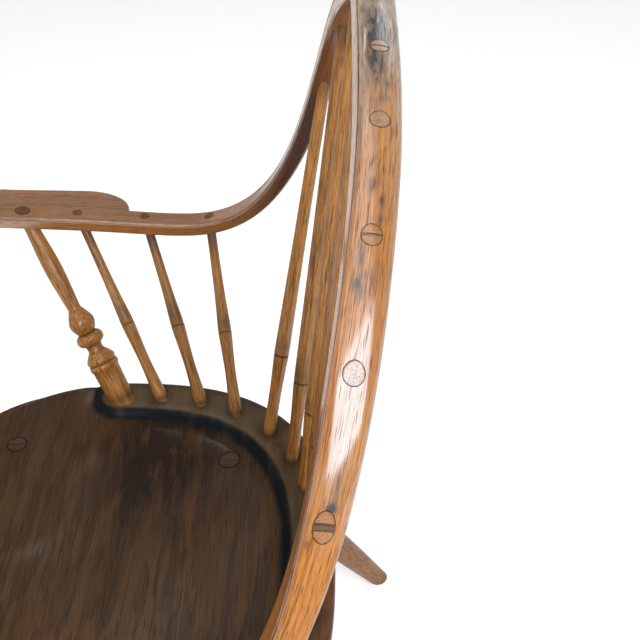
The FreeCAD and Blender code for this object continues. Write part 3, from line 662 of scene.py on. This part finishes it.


# the stick itself, with age marks round its tenons, painted shade on its insides and painted sheen outside
patinaAndLight = dict(
    marks=[  # distance from the crest, share across the outside, half length, half width share, strength
        (0.008, -0.1, 0.010, 0.6, 0.5), (0.024, -0.2, 0.013, 0.7, 0.9), (0.038, -0.15, 0.010, 0.6, 1.0),
        (0.056, -0.45, 0.011, 0.3, 0.95), (0.058, 0.1, 0.009, 0.3, 0.5), (0.070, -0.2, 0.007, 0.25, 0.8),
        (0.075, 0.2, 0.004, 0.14, 0.6), (0.086, -0.1, 0.006, 0.15, 0.5), (0.127, -0.3, 0.004, 0.12, 0.4),
        (0.131, 0.1, 0.003, 0.1, 0.4), (0.141, -0.34, 0.004, 0.16, 0.8), (0.138, 0.0, 0.003, 0.12, 0.6),
        (0.148, 0.15, 0.0035, 0.12, 0.8), (0.158, 0.15, 0.004, 0.12, 0.55), (0.177, -0.5, 0.007, 0.13, 1.0),
        (0.1865, -0.15, 0.004, 0.2, 0.7), (0.192, -0.5, 0.004, 0.18, 0.95), (0.1965, -0.3, 0.004, 0.2, 0.7),
        (0.1905, 0.1, 0.003, 0.08, 0.5), (0.284, 0.0, 0.009, 0.14, 0.6), (0.2945, -0.05, 0.003, 0.3, 1.0),
        (0.3146, -0.7, 0.003, 0.15, 0.6)],
    crest=(0, 0.11), crestCorners=0.6, hold=(0.262, 0.042, 0.45), holdAndHighlightAcross=(0.05, 0.4),
    armRub=0.4, armRubFrom=(0.44, 0.54), insideShade=0.25, bendShade=(0.41, 0.12, 0.8), upperDarken=0.3,
    upperDarkenFrom=(0.36, 0.45), thin=0.9, thinFrom=(0.285, 0.325), thinTo=(0.42, 0.52))
handStart, tail = stickAtY(hand["cheekY"]), stickAtY(noseEndY + hand["tip"])
half = np.concatenate([np.linspace(0, handStart, bow["rows"]), blend(handStart, tail, noseRows)])
distances = np.concatenate([-half[:0:-1], half])
points, grain, scribe, angle, acrossFace = stickSurface(distances)
run = np.abs(distances)[:, None]
outside, inside, upper = limit(np.cos(angle)), limit(-np.cos(angle)), limit(np.sin(angle))
stain = outside * sum(hump(run, place, length, strength) * hump(-acrossFace, share, width)
                      for place, share, length, width, strength in patinaAndLight["marks"])
# paler and greyer round the crest: worn there, and partly painted sheen that the crest catches from above
paler = hump(run, *patinaAndLight["crest"]) * (outside + patinaAndLight["crestCorners"] * np.abs(np.sin(2 * angle)))
paler = paler + hump(run, *patinaAndLight["hold"]) * hump(acrossFace, *patinaAndLight["holdAndHighlightAcross"]) * outside  # worn by hands, and a painted highlight: paler where the window's reflection lies
paler = paler + patinaAndLight["armRub"] * ease(run, *patinaAndLight["armRubFrom"]) * upper
# painted shade: the inside faces darker, most round the bends; the tops of the arms darker too
shadeAndDarkTops = inside * (patinaAndLight["insideShade"] + hump(run, *patinaAndLight["bendShade"]))
shadeAndDarkTops = shadeAndDarkTops + patinaAndLight["upperDarken"] * ease(run, *patinaAndLight["upperDarkenFrom"]) * upper
thin = patinaAndLight["thin"] * outside * ease(run, *patinaAndLight["thinFrom"])  # finish worn away where hands lift it
thin = thin * (1 - ease(run, *patinaAndLight["thinTo"]))
skin = patch(points, grain, stain=stain, soot=scribe, wear=paler, shade=shadeAndDarkTops, dry=thin)
buildPiece("bow_and_arms_wood", [skin], [bowWood], ["bow_and_arms"])
print("bow bent")


# hand pads, glued to the outside of the arms
def padSurface(flip):  # a flat section from the glue line out to the hand's outline, for each y
    start, full, cheekY = hand["startY"], hand["fullY"], hand["cheekY"]
    swelling = blend(full, start, np.cos(np.linspace(hand["startAngle"], math.pi / 2, hand["curveRows"])))
    cheek = np.linspace(full, cheekY, hand["cheekRows"])[1:]
    rounding = blend(cheekY, noseEndY + 2 * hand["tip"], noseRows)
    y = np.concatenate([swelling, cheek, rounding])[:, None]
    risen = limit((start - y) / (start - full))
    wide = blend(gluedX - hand["lap"], padX - hand["draft"], np.sqrt(1 - (1 - risen) ** 2))
    wide = wide + hand["draft"] * limit((full - y) / (full - cheekY))
    outer = np.where(y < cheekY, handX + handHalf(y), wide)
    middle = stickMiddle(stickAtY(y[:, 0]))
    glued = middle[:, :1] + bow["armWidth"] / 2 - hand["glue"]
    halfWide, halfDeep = np.maximum(outer - glued, hand["glue"]) / 2, bow["armThickness"] / 2
    across, deep, angle = aroundSection()
    radius = np.where(across > 0, hand["edgeRadius"], hand["glue"])
    radius = cornerRadius(radius, halfWide, halfDeep, hand["cornerShares"])
    x = glued + halfWide + across * (halfWide - radius) + radius * np.cos(angle)
    z = middle[:, 2:] + deep * (halfDeep - radius) + radius * np.sin(angle)
    grain = triples(y + hand["grainShift"] * flip[0], x, z)
    upper = limit(np.sin(angle))
    return patch(triples(x, y, z) * flip, grain, soot=(across == -1) * hand["glueDirt"],
                 wear=hand["paler"] * upper, shade=hand["dull"] * upper)


for side, flip in sides.items():
    buildPiece(side + "_hand_pad_wood", [padSurface(flip)], [bowWood], [side + "_hand_pad"])
print("hands glued on")


# arm posts
post = dict(
    footDistance=0.3635, topY=-0.131, footRadius=0.014, inDeck=0.012,
    steps=[  # how each part is turned, its length and its size
        ("taper", 0.036, 0.015),  # plain shaft
        ("bead", 0.008, 0.0016),
        ("flow", 0.014, between(0.0094, 0.0162, [(0.2, 1), (0.62, 0.63), (1, 0)])),  # dome
        ("cove", 0.008, 0.0009),  # neck
        ("bead", 0.0145, 0.0058),  # thick ring
        ("flow", 0.0295, between(0.007, 0.0141, [(0.18, 0.75), (0.42, 1), (0.7, 0.63), (1, 0)]))],  # ball
    swellRadius=0.0095, topRadius=0.0075, wedge=0.0018, wedgeAcross=(1.0, 0.0, 0.0), around=48, seed=31,
    footDirt=(0, 0.006, 0.6))


def postProfile(length):  # the steps, then a slim top that swells half way and takes what length is left
    slim = length - runLength(post["steps"]) - bow["armThickness"]
    foot = [("taper", post["inDeck"], post["footRadius"])]
    top = [("flow", slim, [(0.5, post["swellRadius"]), (1, post["topRadius"])]),
           ("taper", bow["armThickness"], post["topRadius"])]
    return turnedProfile(-post["inDeck"], post["footRadius"], foot + post["steps"] + top)


postWedges = []
for number, (side, flip) in enumerate(sides.items()):
    foot, distance = deckPoint(post["footDistance"]) * flip, flip[0] * stickAtY(post["topY"])
    top, radius = stickMiddle(np.array(distance)), post["topRadius"]
    heights, radii = postProfile(np.linalg.norm(top - foot))
    points, grain, t = lathe(foot, top, heights, radii, post["around"], post["seed"] + number)
    dirt = limit(crevices(heights, radii) + hump(t, *post["footDirt"]))
    patches = [patch(points, grain, soot=dirt), tenonEnd(foot, top, radius, distance, "arm")]
    node = side + "_arm_post"
    buildPiece(node + "_turned", patches, [turnedWood, tenonWood], [node])
    across = np.array(post["wedgeAcross"])
    postWedges.append(stickWedge(foot, top, radius, post["wedge"], distance, "arm", across))
buildPiece("arm_post_wedges", postWedges, [wedgeWood], ["post_wedges"])
print("arm posts turned")

# legs
leg = dict(
    feetLength=0.524, rearFootOut=0.041, frontFootOut=-0.006, rearIn=(0.113, 0.115), frontIn=(0.088, 0.100),
    footRadius=0.012, shaftRadius=0.019, shaftCurve=[(0.7, 0.8), (1, 1)],
    steps=[  # from the shaft up
        ("bead", 0.006, 0.0025),  # low ring, then the bobbin
        ("flow", 0.054, between(0.012, 0.019, [(0.08, 0.3), (0.22, 0), (0.45, 0.8), (0.7, 1), (1, 0)])),
        ("bead", 0.006, 0.0035),  # high ring, then the vase and its throat
        ("flow", 0.120, [(0.05, 0.012)] + between(0.012, 0.020, [(0.28, 0.8), (0.48, 1)])
         + between(0.014, 0.020, [(0.75, 0.25), (0.95, 0)]) + [(1, 0.0125)])],
    tenonRadius=0.0115, tenonTop=0.010, shoulder=0.052, inSeat=0.030, belowFloor=0.02,
    wedge=0.0022, wedgeAcross=(0.0, 1.0, 0.0), endFlare=0.0008, endAround=56, endRim=(0.82, 0.97),
    # dull darkens the legs all over as painted shade under the seat
    endGrain=0.11, dull=0.35, dry=0.7, tread=(0, 0.02), treadDirt=0.25, around=48, seed=41)


def legProfile(length):  # a tapered foot that takes what length is left, then the steps and a tenon
    shaft = length - leg["shoulder"] - runLength(leg["steps"])
    foot = [("taper", leg["belowFloor"], leg["footRadius"]),
            ("flow", shaft, between(leg["footRadius"], leg["shaftRadius"], leg["shaftCurve"]))]
    top = [("taper", leg["shoulder"] - leg["inSeat"], leg["tenonRadius"])]
    return turnedProfile(-leg["belowFloor"], leg["footRadius"], foot + leg["steps"] + top)


legLines = {}
for end, way in dict(rear=1, front=-1).items():
    inX, inY = leg[end + "In"]
    topY = seat["middleY"] + way * (seat[end + "Depth"] - inY)
    foot = np.array([seat["halfWidth"] + leg[end + "FootOut"], way * leg["feetLength"] / 2, 0])
    legLines[end] = foot, np.array([seat["halfWidth"] - inX, topY, bow["deckHeight"]])


def dishFall(x, y):  # how far the seat lies below the deck: a bowl behind, two thigh hollows in front
    bowl = hump(x, *seat["dishX"]) * hump(y, *seat["dishY"])
    hollows = ease(-y, *seat["fallRun"]) * (1 - hump(x, *seat["pommel"]))
    return seat["gutterDepth"] + seat["dishDepth"] * bowl + seat["frontFall"] * hollows


def ontoDish(points, along):  # slides points along a line until they lie on the dished seat
    for _ in range(slides):
        short = bow["deckHeight"] - dishFall(points[..., 0], points[..., 1]) - points[..., 2]
        points = points + carry(along, short / along[2])
    return points


def legTenonEnd(foot, top):  # the round end of a leg's tenon in the seat, its rim sunk
    rings, along, x, y = endRings(foot, top, leg["tenonTop"] + leg["endFlare"], leg["endAround"])
    points = ontoDish(rings, along)
    points[0, :, 2] -= tenon["sunk"]
    points[1:, :, 2] += tenon["proud"]
    return patch(points, triples(leg["endGrain"], x, y), 1, soot=ease(endShares, *leg["endRim"]))


def legWedge(foot, top):  # the wedge across that end
    across = np.array(leg["wedgeAcross"])
    bar, along, x, y, lift, edge = wedgeBar(foot, top, leg["tenonTop"], leg["wedge"], across)
    points = ontoDish(bar, along)
    points[..., 2] += lift
    return patch(points, triples(x, y, wedge["grainDeep"]), soot=edge)


stretcher = dict(height=0.165, endRadius=0.008, swell=0.0135, crossSwell=0.014, bellyShare=0.4,
                 beadWidth=0.008, beadHeight=0.0015, around=40, seed=51, crossSeed=57)
legWedges, joints = [], {}
for side, flip in sides.items():
    for number, (end, (foot, top)) in enumerate(legLines.items()):
        foot, top = foot * flip, top * flip
        heights, radii = legProfile(np.linalg.norm(top - foot))
        seed = leg["seed"] + number + 2 * int(flip[0])
        points, grain, t = lathe(foot, top, heights, radii, leg["around"], seed)
        along = unit(top - foot)
        below = np.clip(-points[..., 2], 0, None)
        points = points + carry(along, below / along[2])  # the foot is cut flat at the floor
        tread = hump(points[..., 2], *leg["tread"])
        dirt = limit(crevices(heights, radii) + tread * leg["treadDirt"])
        # the legs are darker all over: painted shade under the seat
        patches = [patch(points, grain, soot=dirt, wear=tread, shade=leg["dull"], dry=leg["dry"]),
                   legTenonEnd(foot, top)]
        node = "%s_%s_leg" % (end, side)
        buildPiece(node + "_turned", patches, [turnedWood, seatTenonWood], [node])
        legWedges.append(legWedge(foot, top))
        joints[side, end] = foot + (top - foot) * (stretcher["height"] / bow["deckHeight"])
buildPiece("leg_tenon_wedges", legWedges, [seatWedgeWood], ["leg_wedges"])
print("legs turned")


# stretchers
def turnStretcher(node, first, second, swell, seed):  # swelling to a beaded middle
    slope, thin = (np.linalg.norm(second - first) - stretcher["beadWidth"]) / 2, stretcher["endRadius"]
    belly = (0.5, blend(thin, swell, stretcher["bellyShare"]))
    heights, radii = turnedProfile(0, thin, [
        ("flow", slope, [belly, (1, swell)]), ("bead", stretcher["beadWidth"], stretcher["beadHeight"]),
        ("flow", slope, [belly, (1, thin)])])
    points, grain, t = lathe(first, second, heights, radii, stretcher["around"], seed)
    turned = patch(points, grain, soot=crevices(heights, radii))
    buildPiece(node + "_turned", [turned], [turnedWood], [node])


crossEnds = []
for number, side in enumerate(sides):
    ends = joints[side, "rear"], joints[side, "front"]
    turnStretcher(side + "_side_stretcher", *ends, stretcher["swell"], stretcher["seed"] + number)
    crossEnds.append(sum(ends) / 2)
turnStretcher("cross_stretcher", *crossEnds, stretcher["crossSwell"], stretcher["crossSeed"])
print("stretchers turned")

# the seat plank: rings drawn in from the outline, underside first, then round the edge and over the top
notTop = -1.0  # stands for the distance into the dish on the edge and the underside


def intoDish(y, inset):  # distance into the dish from the deck's inner line, whose front corners are round
    corner = seat["deckEndRadius"]
    rear, ahead = inset - seat["deckWidth"] + corner, seat["deckFrontY"] - y + corner
    past = np.hypot(np.clip(rear, 0, None), np.clip(ahead, 0, None))
    return past + np.minimum(np.maximum(rear, ahead), 0) - corner


def seatTop(angle, inset):  # a ring of the top: flat deck, a soft step down at the gutter, then the dish
    x, y = outlinePoint(angle, inset)
    into = intoDish(y, inset)
    groove = hump(into, *seat["groove"]) * (1 - ease(-y, *seat["grooveEnds"]))
    return x, y, bow["deckHeight"] - ease(into, *seat["gutterFall"]) * dishFall(x, y) - groove, into


def seatSurface():  # all rings, and how far into the dish each point lies
    angle = circle(seat["around"]) + seat["firstAngle"]
    deep, edge, under = seat["thickness"], seat["edge"], seat["underInset"]
    chamfer, rounding = seat["chamferShare"], seat["edgeRound"]
    sideRows = [(under + inset, deep + below) for inset, below in seat["underRows"]]
    sideRows += [(under * chamfer, blend(edge, deep, chamfer))]
    sideRows += [(inset, edge + below) for inset, below in seat["edgeRows"]]
    rows = [(*outlinePoint(angle, inset), bow["deckHeight"] - fall, notTop) for inset, fall in sideRows]
    for turn in np.linspace(0, math.pi / 2, seat["roundRows"])[:-1]:  # the rounded upper arris
        x, y, z, into = seatTop(angle, rounding)
        x, y = outlinePoint(angle, rounding * (1 - math.cos(turn)))
        rows.append((x, y, z - rounding * (1 - math.sin(turn)), into))
    runs = [(rounding, *seat["deckRows"]), seat["gutterRows"], seat["dishRows"]]
    rows += [seatTop(angle, inset) for inset in np.concatenate([np.linspace(*run) for run in runs])]
    x, y, z, into = (np.stack([part + 0 * angle for part in parts]) for parts in zip(*rows))
    return triples(x, y, z), into


seatAgeAndReflection = dict(  # bells as place, reach and strength, and fades as start and end
    feet=(0, 0.013, 0.6), deckEnd=(-0.006, 0.0), deckStain=0.18, deckShade=0.8, deckDry=0.65,
    gutterFrom=(-0.0065, -0.0015), gutterTo=(0.004, 0.012), gutterEnds=(0.075, 0.120), gutterDirt=0.95,
    rimDirt=(0, 0.008, 0.6), chafe=(0, 0.014), chafeX=(-0.02, 0.02), chafeY=(0.02, 0.08), chafeShare=0.8,
    besideGutter=(0.025, 0.055, 0.2), edgeFade=0.010, patchesAndReflectionStain=0.9, darkDry=0.75, redShare=0.2,
    rustShare=0.5, dark=[(-0.185, 0.03, 0.045), (-0.105, 0.005, 0.065)],  # patches as x, y and size; the wider dark one is a painted dark reflection across the dish
    rust=[(-0.150, 0.145, 0.030), (0.120, 0.160, 0.030)],
    red=[(-0.115, -0.035, 0.030), (-0.080, 0.045, 0.022), (-0.16, 0.03, 0.03), (0.10, -0.05, 0.04)])


def spots(points, kind):  # round soft patches, summed
    return sum(hump(points[..., 0], x, size) * hump(points[..., 1], y, size) for x, y, size in seatAgeAndReflection[kind])


points, into = seatSurface()
x, y, z = np.moveaxis(points, -1, 0)
offRim, edgeZ = into + seat["deckWidth"], bow["deckHeight"] - seat["edge"]
onDeck = (1 - ease(into, *seatAgeAndReflection["deckEnd"])) * (into > notTop)
edgeFace = (into == notTop) * ease(z, edgeZ - seatAgeAndReflection["edgeFade"], edgeZ)
nearFeet = sum(hump(np.linalg.norm(points - foot, axis=-1), *seatAgeAndReflection["feet"])
               for foot, distance, kind in spindleLines.values())
gutterDirt = ease(into, *seatAgeAndReflection["gutterFrom"]) * (1 - ease(into, *seatAgeAndReflection["gutterTo"]))
gutterDirt = gutterDirt * (1 - ease(-y, *seatAgeAndReflection["gutterEnds"])) * seatAgeAndReflection["gutterDirt"]
chafed = hump(offRim, *seatAgeAndReflection["chafe"]) * ease(x, *seatAgeAndReflection["chafeX"])  # half the rear edge
chafed = chafed * ease(y, *seatAgeAndReflection["chafeY"])
rimDirt = hump(offRim, *seatAgeAndReflection["rimDirt"]) * (1 - chafed)
# dark patches in the dish, the wider one a painted dark reflection; their varnish is taken away
patchesAndReflection = limit(spots(points, "dark")) * (into > 0)
rusty = onDeck * spots(points, "rust") * seatAgeAndReflection["rustShare"]
# the band in the dish beside the gutter is painted dark reflection too
stain = nearFeet + hump(into, *seatAgeAndReflection["besideGutter"]) * (into > 0)
stain = stain + patchesAndReflection * seatAgeAndReflection["patchesAndReflectionStain"] + onDeck * seatAgeAndReflection["deckStain"]
worn = spots(points, "red") * seatAgeAndReflection["redShare"] + edgeFace + chafed * seatAgeAndReflection["chafeShare"] + rusty
shade = onDeck * seatAgeAndReflection["deckShade"] * (1 - chafed) * (1 - rusty)
dry = onDeck * seatAgeAndReflection["deckDry"] + patchesAndReflection * seatAgeAndReflection["darkDry"]
carved = patch(points, points, stain=limit(stain), soot=np.maximum(gutterDirt, rimDirt), wear=limit(worn),
               shade=shade, dry=limit(dry))
buildPiece("seat_plank", [carved], [seatWood], ["seat"])
print("seat carved")


# floor, light and camera
stage = dict(
    tint=tint(255, 251, 247), rough=0.9, gloss=0.1, glow=0.22, sky=0.2, skyTint=(1.0, 0.98, 0.95, 1.0),
    flatRings=(0.02, 1.0, 3.0), flatReach=6.0, coveReach=3.5, coveHeight=4.5, coveRows=15, around=72)


def floorSurface():  # a flat round floor whose rim sweeps up as a quarter ellipse
    turn, angle = np.linspace(0, math.pi / 2, stage["coveRows"]), circle(stage["around"])
    flat = np.array(stage["flatRings"])
    reach = np.concatenate([flat, stage["flatReach"] + stage["coveReach"] * np.sin(turn)])[:, None]
    rise = np.concatenate([0 * flat, stage["coveHeight"] * (1 - np.cos(turn))])[:, None]
    points = triples(reach * np.cos(angle), reach * np.sin(angle), rise)
    here = np.arange(points[..., 0].size).reshape(points.shape[:2])
    after = np.roll(here, -1, axis=1)
    faces = np.stack([here[:-1], here[1:], after[1:], after[:-1]], axis=-1).reshape(-1, 4)
    return points.reshape(-1, 3).tolist(), faces.tolist() + [here[0].tolist()]


floorMesh = bpy.data.meshes.new("floor")
floorPoints, floorFaces = floorSurface()
floorMesh.from_pydata(floorPoints, [], floorFaces)
floorMesh.shade_smooth()
floor = placed("floor", floorMesh)
floorPaint = bpy.data.materials.new("floorPaint")
floorPaint.use_nodes = True
setInputs(floorPaint.node_tree.nodes["Principled BSDF"], {
    "Base Color": stage["tint"], "Roughness": stage["rough"], "Specular IOR Level": stage["gloss"],
    "Emission Color": stage["tint"], "Emission Strength": stage["glow"]})
floorMesh.materials.append(floorPaint)

world = bpy.data.worlds.new("studio")
world.use_nodes = True
setInputs(world.node_tree.nodes["Background"], {"Color": stage["skyTint"], "Strength": stage["sky"]})
bpy.context.scene.world = world
bpy.context.scene.view_settings.view_transform = "Standard"


def softbox(name, place, target, size, glow, tone=(1.0, 1.0, 1.0)):  # glow is the brightness of its face
    lamp = bpy.data.lights.new(name, "AREA")
    lamp.color = tone
    lamp.shape, lamp.size, lamp.size_y = "RECTANGLE", *size
    lamp.energy = glow * math.pi * size[0] * size[1]
    box = placed(name, lamp)
    box.location = place
    box.rotation_mode = "QUATERNION"
    box.rotation_quaternion = (Vector(target) - Vector(place)).to_track_quat("-Z", "Y")


softbox("overhead", (0.6, -0.9, 4.0), (0.0, 0.0, 0.5), (4.5, 4.0), glow=1.35)
softbox("window", (1.99, 0.74, 2.42), (0.23, 0.20, 0.88), (3.0, 2.1), glow=6.5, tone=(0.70, 0.87, 1.0))
softbox("farWall", (-2.4, 1.2, 2.4), (0.0, 0.22, 0.97), (1.2, 1.2), glow=1.5)
softbox("pane", (-1.95, -0.5, 2.55), (-0.13, 0.0, 0.42), (0.7, 0.25), glow=4.5)

view = dict(
    place=(0.56041, 0.19369, 1.21046), yaw=math.radians(-1.0), pitch=math.radians(41.595),
    roll=math.radians(-0.17), focalPixels=993.39, middleY=340.0, picture=640, sensor=36.0, near=0.02, far=60)
yaw, pitch, roll = view["yaw"], view["pitch"], view["roll"]
ahead = np.array([-math.cos(pitch) * math.cos(yaw), math.cos(pitch) * math.sin(yaw), -math.sin(pitch)])
level = unit(np.cross(ahead, [0, 0, 1.0]))
above = np.cross(level, ahead)
right = math.cos(roll) * level + math.sin(roll) * above
up = -math.sin(roll) * level + math.cos(roll) * above
lens = bpy.data.cameras.new("camera")
lens.sensor_width, lens.lens = view["sensor"], view["focalPixels"] / view["picture"] * view["sensor"]
lens.shift_y = (view["middleY"] - view["picture"] / 2) / view["picture"]
lens.clip_start, lens.clip_end = view["near"], view["far"]
camera = placed("camera", lens)
axes = np.eye(4)
axes[:3] = np.column_stack([right, up, -ahead, view["place"]])
camera.matrix_world = Matrix(axes.tolist())
bpy.context.scene.camera = camera
print("studio lit")
